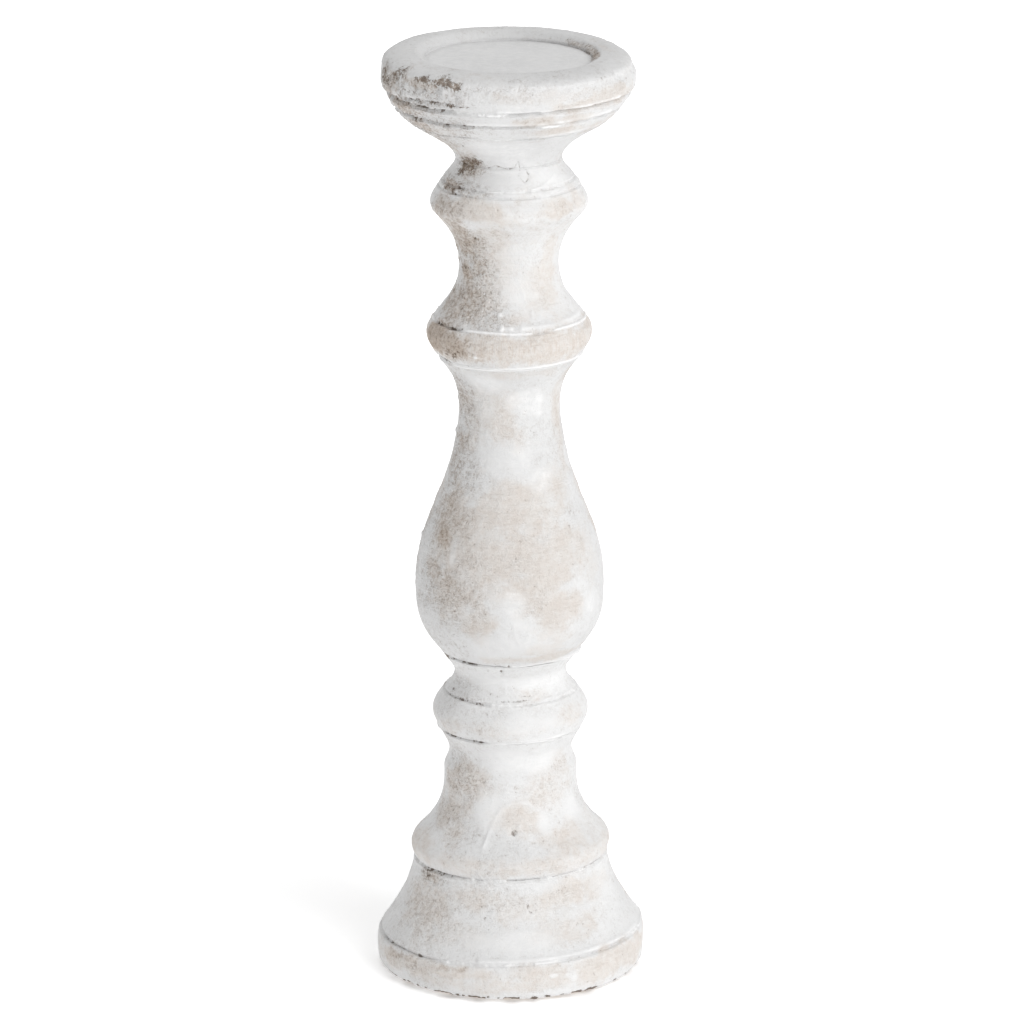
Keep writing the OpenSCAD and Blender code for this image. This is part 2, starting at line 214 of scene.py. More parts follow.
# Drawn lines: how far the line stands out, or is cut in where that is negative, and its half width,
# both in mm, then azimuth and height along it
RIDGES = [
    (-0.90, 0.9, [(-80, 465.0), (-60, 465.6), (-46, 467.4), (-24, 467.6)]),
    (-1.50, 3.6, [(60, 476.5), (90, 476.5), (122, 476.5)]),
    (-1.30, 1.7, [(-125, 462.4), (-90, 462.4), (-74, 463.4)]),
    (0.50, 1.1, [(-18, 76), (-16, 83), (-12, 90), (-7, 94), (0, 96.4), (8, 97.2), (16, 95.8), (22, 92)]),
    (0.24, 1.0, [(22, 92), (30, 89), (37, 85), (37, 80), (31, 75), (24, 72)]),
    (0.35, 0.6, [(13, 367), (19, 356), (21, 350)]),
    (0.35, 0.6, [(24, 368), (22, 360), (20, 352)]),
    (0.30, 0.6, [(19, 369), (20, 360)]),
    (0.30, 0.8, [(2, 156.6), (6, 153.2), (12, 151.4), (20, 151.2), (28, 152.8), (36, 155.6)]),
    (0.35, 0.8, [(20, 417.5), (34, 419.5), (50, 423)]),
    (0.30, 0.7, [(24, 148.5), (44, 151), (60, 154)]),
    (0.30, 0.7, [(2, 196), (3, 190), (6, 185), (10, 186), (12, 192)]),
    (0.30, 0.7, [(8, 50), (11, 48), (15, 45), (12, 43), (8, 46), (9, 50)]),
    (0.60, 1.0, [(-5, 465.4), (20, 465.1), (44, 465.8), (66, 466.2)]),
    (0.60, 1.0, [(-20, 458), (10, 457.8), (34, 458.2), (58, 458.6)]),
    (0.50, 0.9, [(10, 450), (34, 450.2), (58, 450.6)]),
    (2.40, 1.1, [(-4, 170.4), (20, 170.5), (46, 170.6), (84, 170.6)]),
    (0.60, 1.1, [(6, 131), (30, 131.2), (60, 131.6)]),
    (0.60, 1.1, [(-14, 22.6), (16, 22.6), (50, 22.8), (76, 23)]),
    (0.60, 1.2, [(10, 348), (34, 348), (60, 348.6), (80, 349)]),
]
# Hairline cracks, as azimuth and height along each
HAIRLINES = [
    [(-84, 464.6), (-60, 465.6), (-46, 467.4), (-36, 467.9), (-22, 466.8)],
    [(-22, 428), (-14, 429.5), (-8, 428.6), (0, 427.6), (6, 428.4), (9, 431)],
    [(9, 433), (12, 428), (10, 424.5), (15, 421.5), (20, 423), (19, 427)],
    [(14, 430), (18, 427), (22, 424)],
    [(-50, 190), (-42, 184), (-34, 182), (-26, 183)],
    [(-48, 194), (-40, 189), (-32, 187)],
    [(-8, 150.8), (6, 150.6), (18, 151)],
    [(2, 158), (6, 154.6), (12, 152.8), (20, 152.6)],
    [(9, 46), (10, 48.5), (13, 49), (15, 47), (14, 44.5), (11, 43.8), (9, 46)],
    [(160, 436), (168, 428), (180, 425), (190, 427)],
    [(120, 200), (126, 190), (124, 182)],
]
# Their half width and depth in mm, and how open they are
HAIRLINE_HALF = 0.5
HAIRLINE_DEPTH = 0.2
HAIRLINE_OPEN = 0.54
# Pinholes and knots: azimuth, height, radius and depth in mm
PITS = [
    (-34, 391.6, 0.8, 1.0), (-37, 440.5, 0.9, 0.8), (-8, 166.8, 0.9, 0.9), (-1, 171, 1.0, 0.8),
    (3, 82.4, 2.6, 0.65), (12, 46.5, 1.2, 0.3), (39, 21, 0.8, 0.6), (-52, 222, 0.9, 0.5),
    (150, 300, 0.9, 0.8), (200, 90, 1.5, 1.0),
]
# The face of the lower ring, all the way round, where the wood's grain shows
RING_GRAIN = [(0, 338, 1e4, 8, 1.0)]
# How far a bead of paint in a groove stands out, in mm
BEAD_HEIGHT = 0.5
# The radius under the foot where its paint ends, in mm
PAINT_TO_R = 60
# The azimuth of the side that is grittiest all the way up; its grit is partly painted shade on that dim side
GRITTY_SHADED_SIDE = -70
# Grime and painted shade in the pan's recess: the azimuth at the middle of it, and where it is thickest
GRIME_AND_SHADE_MIDDLE = 105
GRIME_AND_SHADE_THICKEST = 76
# Clods of plaster start between these heights, in mm
CLODS_FROM = (444, 460)
# Noise stretched like this changes along a ring and hardly with height.
UPRIGHT = (1, 1, 9)


# ---------------------------------------------------------------- noise

def lattice(ix, iy, iz, seed):
    """A fixed number from -1 to 1 for each whole-number lattice point."""
    h = (ix * 374761393 + iy * 668265263 + iz * 1442695041 + seed * 1274126177) & 0xFFFFFFFF
    h = ((h ^ (h >> 13)) * 1103515245) & 0xFFFFFFFF
    h = ((h ^ (h >> 15)) * 747796405) & 0xFFFFFFFF
    return ((h ^ (h >> 16)) & 0xFFFF) / 32767.5 - 1


def noise(points, size, seed, stretch=(1, 1, 1)):
    """Smooth noise from -1 to 1 at points in mm. Its lumps have that size, drawn out by stretch."""
    p = points / (size * np.array(stretch, float)) + 100.5
    cell = np.floor(p).astype(np.int64)
    f = p - cell
    f = f * f * (3 - 2 * f)
    total = np.zeros(len(p))
    for corner in range(8):
        d = np.array([corner & 1, corner >> 1 & 1, corner >> 2])
        weight = np.prod(np.where(d == 1, f, 1 - f), axis=1)
        total += weight * lattice(*(cell + d).T, seed)
    return total


def fractal(points, size, seed, octaves=3, stretch=(1, 1, 1)):
    """Noise of several sizes, each half as large and 0.55 as strong as the one before."""
    total = np.zeros(len(points))
    for k in range(octaves):
        total += 0.55 ** k * noise(points, size / 2 ** k, seed + 17 * k, stretch)
    return total


def ramp(x, low, high):
    """0 below low, 1 above high, smooth between."""
    t = np.clip((x - low) / (high - low), 0, 1)
    return t * t * (3 - 2 * t)


# ---------------------------------------------------------------- outlines from the CAD frame

def node_z(node):
    """Lowest and highest point of a CAD node, in mm."""
    low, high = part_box(node)
    return low.z / MM, high.z / MM


# All in mm
GLUE_GAP = 0.1
DOWEL_END_GAP = 1.0
BEVEL = 0.7             # how much of a section's end the CAD's joint bevel takes
GROOVE_REACH = 1.7      # how far to each side of its middle a CAD groove is bridged
OUTLINE_STEP = 0.25
PLINTH_ARRIS = 2.6
RIM_ACROSS = 12.0       # the rim's top rolls off over this width
RIM_DROP = 5.0          # and by this much
dowel_low, dowel_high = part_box("foot_dowel")
BORE_R = (dowel_high.x - dowel_low.x) / 2 / MM + GLUE_GAP
recess = next(m for m in frame["record"]["mounts"] if m["name"] == "candle_recess")
seat = next(m for m in frame["record"]["mounts"] if m["name"] == "candle_seat")
RECESS_R = recess["dims"]["r_mm"]
RECESS_FLOOR = seat["pos_m"][2] / MM
RECESS_WALL = recess["dims"]["length_mm"]


def mouth_radius():
    """The inner radius of the pan's flat rim, in mm."""
    top = node_z("candle_pan")[1]
    radii = [math.hypot(v.co.x, v.co.y) / MM for v in frame["nodes"]["candle_pan"].data.vertices
             if v.co.z / MM > top - 0.01]
    return min(radii)


MOUTH_R = mouth_radius()


def cad_radius(node, heights):
    """The outer radius of a turned CAD node at each height, in mm."""
    mesh = frame["nodes"][node].data
    co = np.array([v.co for v in mesh.vertices]) / MM
    edges = np.array([e.vertices[:] for e in mesh.edges])
    r = np.hypot(co[:, 0], co[:, 1])
    z = co[:, 2]
    a, b = edges[:, 0], edges[:, 1]
    rise = np.abs(z[a] - z[b]) > 1e-4
    a, b = a[rise], b[rise]
    swap = z[a] > z[b]
    a, b = np.where(swap, b, a), np.where(swap, a, b)
    out = np.zeros(len(heights))
    for i, h in enumerate(heights):
        hit = (z[a] <= h) & (z[b] >= h)
        t = (h - z[a][hit]) / (z[b][hit] - z[a][hit])
        out[i] = np.max(r[a][hit] * (1 - t) + r[b][hit] * t)
    return out


def smooth_outline(node):
    """Heights and radii of a section's side, with its grooves bridged and its facets smoothed out."""
    low, high = node_z(node)
    if node == "base_foot":
        low += PLINTH_ARRIS
    if node == "candle_pan":
        high -= RIM_DROP
    z = np.linspace(low, high, 1 + int((high - low) / OUTLINE_STEP))
    r = cad_radius(node, np.clip(z, low + BEVEL, high - BEVEL))
    keep = (z > low + BEVEL) & (z < high - BEVEL)
    for groove_z, *_ in GROOVES[node]:
        keep &= np.abs(z - groove_z) > GROOVE_REACH
    kept_z, kept_r = z[keep], r[keep]
    r = np.interp(z, kept_z, kept_r)
    for end, near in ((z < kept_z[0], slice(0, 8)), (z > kept_z[-1], slice(-8, None))):
        slope, base = np.polyfit(kept_z[near], kept_r[near], 1)
        r[end] = base + slope * z[end]
    reach, spread = 7, 3.0
    weights = np.exp(-0.5 * (np.arange(-reach, reach + 1) / spread) ** 2)
    ends = np.concatenate([2 * r[0] - r[reach:0:-1], r, 2 * r[-1] - r[-2:-reach - 2:-1]])
    return z, np.convolve(ends, weights / weights.sum(), "valid")


def spaced(z, r, fine_at):
    """Radii and heights along an outline, closer together near each height in fine_at."""
    gap = np.full(len(z), STEP)
    for height in fine_at:
        gap = np.where(np.abs(z - height) < FINE_REACH, FINE_STEP, gap)
    lengths = np.hypot(np.diff(z), np.diff(r)) / gap[1:]
    count = np.concatenate([[0], np.cumsum(lengths)])
    at = np.interp(np.linspace(0, count[-1], int(count[-1]) + 2), count, z)
    return np.interp(at, z, r), at


def quarter(r, z, dr, dz, start):
    """A quarter turn of an ellipse about (r, z), from start degrees, as radii and heights."""
    steps = max(3, int(math.pi / 2 * max(dr, dz) / STEP * 1.4))
    a = np.radians(start + 90 * np.arange(steps + 1) / steps)
    return r + dr * np.cos(a), z + dz * np.sin(a)


def flat(r_from, r_to, z, gap=STEP):
    """A level stretch between two radii, without its ends."""
    count = max(2, int(abs(r_to - r_from) / gap))
    return np.linspace(r_from, r_to, count + 1)[1:-1], np.full(count - 1, z)


def one_ring(radius, height):
    """A single point of a profile, as radii and heights."""
    return np.full(1, radius), np.full(1, height)


def foot_of(node, side, low, hole):
    """The profile from the axis, or from the bore, out to the bottom of a section's side."""
    side_r, side_z = side
    if node == "base_foot":
        arris_r, arris_z = quarter(side_r[0] - PLINTH_ARRIS, side_z[0], PLINTH_ARRIS, PLINTH_ARRIS, -90)
        under = flat(0, arris_r[0], low, 2 * STEP)
        return [(one_ring(0, low), 0), (under, 0.3), ((arris_r[:-1], arris_z[:-1]), 1)]
    if node == "lower_knop":
        bore = one_ring(BORE_R, low)
    else:
        bore = (np.array([0, BORE_R, BORE_R]), np.array([low + hole, low + hole, low]))
    return [(bore, 0), (flat(BORE_R, side_r[0], low, 3 * STEP), 0)]


def head_of(node, side, high, hole):
    """The profile from the top of a section's side in to the bore."""
    if node == "lower_knop":
        bore = one_ring(BORE_R, high)
    else:
        bore = (np.array([BORE_R, BORE_R, 0]), np.array([high, high - hole, high - hole]))
    return [(flat(side[0][-1], BORE_R, high, 3 * STEP), 0), (bore, 0)]


def rim_and_recess(side, high):
    """The pan's profile from its side over the rolled rim, down the recess's wall and in to the axis."""
    side_r, side_z = side
    rim_r, rim_z = quarter(side_r[-1] - RIM_ACROSS, side_z[-1], RIM_ACROSS, RIM_DROP, 0)
    wall_top = RECESS_FLOOR + RECESS_WALL
    along = np.linspace(1, 0, 18)
    flare_r = RECESS_R + (MOUTH_R - RECESS_R) * along
    flare_z = high - (high - wall_top) * (1 - np.sin(math.pi / 2 * along))
    wall_z = np.arange(wall_top - FINE_STEP, RECESS_FLOOR + FINE_STEP / 2, -FINE_STEP)
    outlines = [
        (rim_r[1:], rim_z[1:]),
        flat(rim_r[-1], MOUTH_R, high),
        (flare_r, flare_z),
        (np.full(len(wall_z), RECESS_R), wall_z),
        one_ring(RECESS_R, RECESS_FLOOR),
        flat(RECESS_R, 0, RECESS_FLOOR, 2 * STEP),
        one_ring(0, RECESS_FLOOR),
    ]
    return [(outline, 1) for outline in outlines]


def section_path(node):
    """Radii, heights and skin of a section's profile. Skin is 1 on paint, and 0 in joints and bores."""
    low, high = node_z(node)
    hole = (dowel_high.z - dowel_low.z) / MM / 2 + DOWEL_END_GAP
    z, r = smooth_outline(node)
    side = spaced(z, r, [groove[0] for groove in GROOVES[node]] + [low, high])
    parts = foot_of(node, side, low, hole) + [(side, 1)]
    if node == "candle_pan":
        parts += rim_and_recess(side, high)
    else:
        parts += head_of(node, side, high, hole)
    radii = np.concatenate([outline[0] for outline, _ in parts])
    heights = np.concatenate([outline[1] for outline, _ in parts])
    skin = np.concatenate([np.full(len(outline[0]), float(level)) for outline, level in parts])
    return radii, heights, skin


# ---------------------------------------------------------------- surface detail

def turn_from(theta, azimuth):
    """Degrees from an azimuth to each theta in radians, the short way round."""
    return (np.degrees(theta) - azimuth + 180) % 360 - 180


def places(spots, theta, r, z, rag):
    """The strongest of some places at each point, with their edges moved about by rag."""
    out = np.zeros(len(z))
    for azimuth, height, half_w, half_h, strength in spots:
        near = np.abs(z - height) < 2 * half_h
        across = np.radians(turn_from(theta[near], azimuth)) * r[near] / half_w
        up = (z[near] - height) / half_h
        far = np.hypot(across, up) + 0.4 * rag[near]
        out[near] = np.maximum(out[near], strength * (1 - ramp(far, 0.4, 1.5)))
    return out


def stroke(path, half, theta, r, z):
    """1 along a drawn line, falling off over its half width."""
    out = np.zeros(len(z))
    for (azimuth, height), (next_azimuth, next_height) in zip(path, path[1:]):
        low, high = sorted((height, next_height))
        near = (z > low - 3 * half) & (z < high + 3 * half)
        u = np.radians(turn_from(theta[near], azimuth)) * r[near]
        v = z[near] - height
        du = math.radians(next_azimuth - azimuth) * r[near]
        dv = next_height - height
        t = np.clip((u * du + v * dv) / np.maximum(du * du + dv * dv, 1e-9), 0, 1)
        far = np.hypot(u - t * du, v - t * dv)
        out[near] = np.maximum(out[near], np.exp(-(far / half) ** 2))
    return out


def dots(spots, theta, r, z):
    """For each point, 1 at the middle of the nearest of some round spots, and that spot's size in mm."""
    shape = np.zeros(len(z))
    size = np.zeros(len(z))
    for azimuth, height, radius, thick in spots:
        near = np.abs(z - height) < 3 * radius
        across = np.radians(turn_from(theta[near], azimuth)) * r[near]
        bell = np.exp(-(np.hypot(across, z[near] - height) / radius) ** 2)
        better = bell > shape[near]
        shape[near] = np.where(better, bell, shape[near])
        size[near] = np.where(better, thick, size[near])
    return shape, size


def groove_cut(theta, co, z, slope, groove, seed):
    """How deep a V groove goes at each point, how open its paint is or how dark its painted shadow line is,
    and where a bead of paint fills it.
    """
    groove_z, depth, half, crack_from, crack_to, beaded = groove
    wander = 0.3 * noise(co, 22, seed, UPRIGHT) + 0.15 * noise(co, 5, seed + 1, UPRIGHT)
    away = np.abs(z - groove_z - wander) * np.hypot(1, slope)
    along = noise(co, 2.0, seed + 2, UPRIGHT) + 0.6 * noise(co, 1.0, seed + 3, UPRIGHT)
    middle, reach = (crack_from + crack_to) / 2, (crack_to - crack_from) / 2
    front = 1 - ramp(np.abs(turn_from(theta, middle)) - reach, -4, 10)
    behind = ramp(np.abs(turn_from(theta, 0)), 95, 110) * ramp(noise(co, 40, seed + 4, UPRIGHT), 0.0, 0.4)
    cracked = np.maximum(front, behind)
    patchy = noise(co, 12, seed + 5, UPRIGHT) + 0.3 * along
    filled = (1 - cracked) * ramp(0.6 * patchy + beaded, 0.1, 0.7)
    bead = filled * np.exp(-((away / (0.55 * half)) ** 2))
    cut = depth * np.clip(1 - away / half, 0, 1) * (0.8 + 0.3 * cracked)
    lip_edge = np.exp(-(((away - 1.15 * half) / 0.6) ** 2))
    lip = 0.32 * (1 + 0.6 * cracked) * (0.6 + 0.4 * along) * lip_edge
    width = half * (0.45 + 0.3 * along)
    opened = ramp(along + 1.3 * cracked - 1.4, -0.1, 0.3) * (1 - ramp(away, 0.5 * width, width + 0.4))
    # A thin dark line along open grooves: partly dirt in them, partly a painted shadow
    line = 0.3 * (1 - filled) * (1 - ramp(away, 0, 0.6 * half))
    return cut - bead * (depth + BEAD_HEIGHT) - lip, np.maximum(opened, line), bead


def lines_of(node):
    """The grooves on a section, with the joints at its foot and its head."""
    low, high = node_z(node)
    lines = list(GROOVES[node])
    for other in SECTIONS[1:]:
        joint_z = node_z(other)[0]
        if min(abs(joint_z - low), abs(joint_z - high)) < 1:
            lines.append((joint_z, *JOINTS[other]))
    return lines


def inside_recess(node, r, z):
    """1 in the pan's recess and 0 elsewhere."""
    if node != "candle_pan":
        return np.zeros(len(z))
    return ((r < MOUTH_R - 0.5) & (z > RECESS_FLOOR - 1)).astype(float)


def wear(theta, r, z, co, rag, side):
    """The masks of the places listed above, with more thin and gritty paint at the back."""
    patches = fractal(co, 21, 83, 4)
    clouds = fractal(co, 30, 71, 3)
    # More grit towards the dim left side, partly as painted shade
    gritty_and_shaded = 0.5 + 0.5 * np.cos(theta - math.radians(GRITTY_SHADED_SIDE))
    behind = ramp(np.abs(turn_from(theta, 0)), 75, 105)
    general_speck = (0.25 + 0.35 * behind) * ramp(patches + 0.5 * gritty_and_shaded, 0.3, 1.2)
    general_thin = (0.3 + 0.3 * behind) * ramp(clouds, 0.1, 1.0)
    return {
        "bare": places(BARE, theta, r, z, rag) * side,
        "stain": places(STAIN, theta, r, z, rag) * side,
        "thin": np.maximum(places(THIN, theta, r, z, rag), general_thin) * side,
        "speck": np.maximum(places(SPECK, theta, r, z, rag), general_speck) * side,
        "white": places(WHITE, theta, r, z, 1.1 * rag),
    }


def recess_grime_and_shade(theta, r, rag, inside):
    """Grime and painted shade on the recess's wall at the right and back, thickest and highest at the right.
    """
    fading = ramp(np.abs(turn_from(theta, GRIME_AND_SHADE_THICKEST)), 14, 46)
    from_middle = np.abs(turn_from(theta, GRIME_AND_SHADE_MIDDLE)) + 10 * rag
    along_wall = (1 - ramp(from_middle, 30, 50)) * (1 - 0.45 * fading)
    up_wall = ramp(r + 1.5 * fading, RECESS_R + 2.4 + rag, RECESS_R + 4.6 + rag)
    on_wall = inside * ramp(r, RECESS_R - 1.2 + 0.6 * rag, RECESS_R + 0.3) * (1 - up_wall)
    return on_wall * along_wall


def chipped_edge(node, co, z):
    """1 where the paint is chipped off along the foot's bottom edge."""
    if node != "base_foot":
        return np.zeros(len(z))
    along = noise(co, 4.5, 401, UPRIGHT) + 0.8 * noise(co, 1.8, 402, UPRIGHT)
    return ramp(along, -0.1, 0.15) * (1 - ramp(z - node_z(node)[0], 1.3, 2.4))


def unevenness(z, co, bare, speck, thin, inside):
    """Height of the paint's waves, crumbs and rubbed hollows, in mm, with coarse clods on the pan's rim."""
    waves = 0.26 * fractal(co, 28, 101, 2) + 0.08 * fractal(co, 9, 113, 2)
    rough = np.maximum(np.maximum(bare, speck), 0.25 * thin)
    crumbs = (0.08 + 0.42 * rough) * fractal(co, 3.4, 127, 3) * (1 - 0.7 * inside)
    rubbed = 0.25 * bare * (1 - inside)
    clods = 0.8 * speck * ramp(z, *CLODS_FROM) * fractal(co, 5.5, 131, 2)
    return waves + crumbs - rubbed + clods


def drawn_lines(node, theta, r, z, co, slope, rag, side):
    """Height of all the drawn lines in mm, how open or dark they are, with a painted shadow line in open
    grooves, and how thick the paint on them is; thick paint is whitened, partly as a painted highlight.
    """
    height = np.zeros(len(z))
    opened = np.zeros(len(z))
    thick = np.zeros(len(z))
    for groove in lines_of(node):
        cut, gap, bead = groove_cut(theta, co, z, slope, groove, int(10 * groove[0]))
        height -= cut * side
        opened = np.maximum(opened, gap * side)
        # Beads of paint are whitened: partly thick paint, partly a painted highlight
        thick = np.maximum(thick, bead)
    for rise, half, path in RIDGES:
        line = stroke(path, half, theta, r, z) * (0.8 + 0.5 * rag) * side
        height += rise * line
        # Ridges are whitened by their rise: partly thick paint, partly a painted highlight
        thick = np.maximum(thick, min(1.0, 1.2 * rise) * np.clip(line, 0, 1))
    for path in HAIRLINES:
        line = stroke(path, HAIRLINE_HALF, theta, r, z) * side
        height -= HAIRLINE_DEPTH * line
        opened = np.maximum(opened, HAIRLINE_OPEN * line)
    return height, opened, thick


def detail(node, theta, r, z, co, slope, skin):
    """Height of the surface over the plain turned one, in mm, and the paint's masks, at each point."""
    rag = fractal(co, 9, 31, 3)
    inside = inside_recess(node, r, z)
    side = 1 - inside
    worn = wear(theta, r, z, co, rag, side)
    # Darkening on the recess's wall: part grime, part painted shade
    grime_and_shade = recess_grime_and_shade(theta, r, rag, inside)
    chipped = chipped_edge(node, co, z)
    bare = np.maximum(np.maximum(worn["bare"], 0.25 * grime_and_shade), chipped)
    stain = np.maximum(worn["stain"], 0.75 * grime_and_shade)
    speck = np.maximum(worn["speck"], 0.8 * grime_and_shade)
    thin = worn["thin"]

    lines, opened, thick = drawn_lines(node, theta, r, z, co, slope, rag, side)
    lump, rise = dots(LUMPS, theta, r, z)
    pit, depth = dots(PITS, theta, r, z)
    height = unevenness(z, co, bare, speck, thin, inside) + lines + (lump * rise - pit * depth) * side
    hole = ramp(pit, 0.45, 0.8) * ramp(depth, 0.3, 0.9) * side

    # Thick paint, lumps, beads and ridges are whitened; on beads and ridges this is partly a painted
    # highlight
    white = np.clip(np.maximum(worn["white"], np.maximum(0.5 * lump, thick)), 0, 1) * side
    # The recess's floor is lightened too, as painted light against its shade
    white = np.maximum(white, 0.45 * inside * (r < RECESS_R - 2))
    masks = {
        "bare": bare * (1 - white),
        "stain": stain * (1 - white),
        "thin": thin * (1 - 0.6 * white),
        "speck": speck * (1 - white),
        "white": white,
        # Cracks, chips, pits, and a painted shadow line along open grooves
        "crack_and_shade": np.maximum(np.maximum(chipped, opened), hole),
        "grain": places(RING_GRAIN, theta, r, z, 0.3 * rag) * (node == "upper_spindle"),
        "raw": raw_wood(node, r, z, rag, skin),
    }
    return height * skin, masks


def raw_wood(node, r, z, rag, skin):
    """1 where no paint was ever put on: in bores and joints, and under the foot but for its edge."""
    under = np.zeros(len(z))
    if node == "base_foot":
        under = (z < node_z(node)[0] + 0.05) * (1 - ramp(r + 2 * rag, PAINT_TO_R, PAINT_TO_R + 3))
    return np.maximum(skin < 0.05, under).astype(float)


def tipped(co, z):
    """How far the rings' tipping over lifts each point, in mm."""
    heights, to_right, to_back = zip(*TILT)
    return np.interp(z, heights, to_right) * co[:, 0] + np.interp(z, heights, to_back) * co[:, 1]


# ---------------------------------------------------------------- meshes

def outward(radii, heights, skin):
    """The outward direction along a profile, as radial and upward parts, and the slope of its side."""
    tangent_r, tangent_z = np.gradient(radii), np.gradient(heights)
    painted = skin > 0.5
    # Where the painted side ends, the direction is the side's own and not the joint face's.
    for i in np.flatnonzero(painted[1:] != painted[:-1]):
        end, inner = (i + 1, i + 2) if painted[i + 1] else (i, i - 1)
        turn = np.sign(inner - end)
        tangent_r[end] = turn * (radii[inner] - radii[end])
        tangent_z[end] = turn * (heights[inner] - heights[end])
    length = np.hypot(tangent_r, tangent_z)
    slope = np.clip(tangent_r / np.where(np.abs(tangent_z) < 1e-6, 1e-6, tangent_z), -4, 4)
    return tangent_z / length, -tangent_r / length, slope


def turned_section(node):
    """One painted section as a closed mesh, in the stead of its CAD node."""
    radii, heights, skin = section_path(node)
    across = 4 * int(2 * math.pi * radii.max() / ACROSS_STEP / 4)
    theta = np.tile(np.linspace(0, 2 * math.pi, across, endpoint=False), len(radii))
    profile = (radii, heights, skin, *outward(radii, heights, skin))
    r, z, skin, out_r, out_z, slope = (np.repeat(values, across) for values in profile)
    sin, cos = np.sin(theta), np.cos(theta)
    co = np.stack([r * sin, -r * cos, z], axis=1)
    height, masks = detail(node, theta, r, z, co, slope, skin)

    # Near a joint the surface moves only sideways, so that the two faces stay together.
    low, high = node_z(node)
    free_low = 1 if node == "base_foot" else ramp(z - low, 0, 3)
    free_high = 1 if node == "candle_pan" else ramp(high - z, 0, 3)
    co[:, 0] += height * out_r * sin
    co[:, 1] -= height * out_r * cos
    co[:, 2] += height * out_z * free_low * free_high
    co[:, 2] += tipped(co, z)

    mesh, keep = grid_mesh("painted_" + node, co, radii, across)
    for mask, values in masks.items():
        attribute = mesh.attributes.new(mask, "FLOAT", "POINT")
        attribute.data.foreach_set("value", values[keep].astype(np.float32))
    mesh.materials.append(painted_wood(SLOTS[node], PAINTED_SHADE_TONE.get(node, 1.0)))
    return place(mesh, node)


def place(mesh, node):
    """Put a mesh in the scene in the stead of a CAD node."""
    obj = bpy.data.objects.new(mesh.name, mesh)
    bpy.context.scene.collection.objects.link(obj)
    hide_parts(node)
    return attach(obj, "root")


def grid_mesh(name, co, radii, across):
    """A mesh from rings of points, and which of the points it uses.

    A ring of no radius becomes one point. A profile with no such ring closes on itself.
    """
    rings = len(radii)
    pole = radii < 1e-6
    index = np.arange(rings * across).reshape(rings, across)
    index[pole] = index[pole][:, :1]
    used = np.unique(index)
    renumber = np.zeros(rings * across, int)
    renumber[used] = np.arange(len(used))
    index = renumber[index]
    closed = not pole.any()
    faces = []
    for i in range(rings if closed else rings - 1):
        a, b = index[i], index[(i + 1) % rings]
        quads = np.stack([a, np.roll(a, -1), np.roll(b, -1), b], axis=1)
        if pole[i]:
            quads = quads[:, [0, 2, 3]]
        elif pole[(i + 1) % rings]:
            quads = quads[:, [0, 1, 2]]
        faces += quads.tolist()
    mesh = bpy.data.meshes.new(name)
    mesh.from_pydata((co[used] * MM).tolist(), [], faces)
    mesh.polygons.foreach_set("use_smooth", np.ones(len(mesh.polygons), bool))
    mesh.set_sharp_from_angle(angle=math.radians(60))
    mesh.update()
    return mesh, used


# ---------------------------------------------------------------- materials

def srgb(*levels):
    """A linear colour from levels of 0 to 255."""
    part = [v / 255 for v in levels]
    return tuple(v / 12.92 if v <= 0.04045 else ((v + 0.055) / 1.055) ** 2.4 for v in part) + (1.0,)


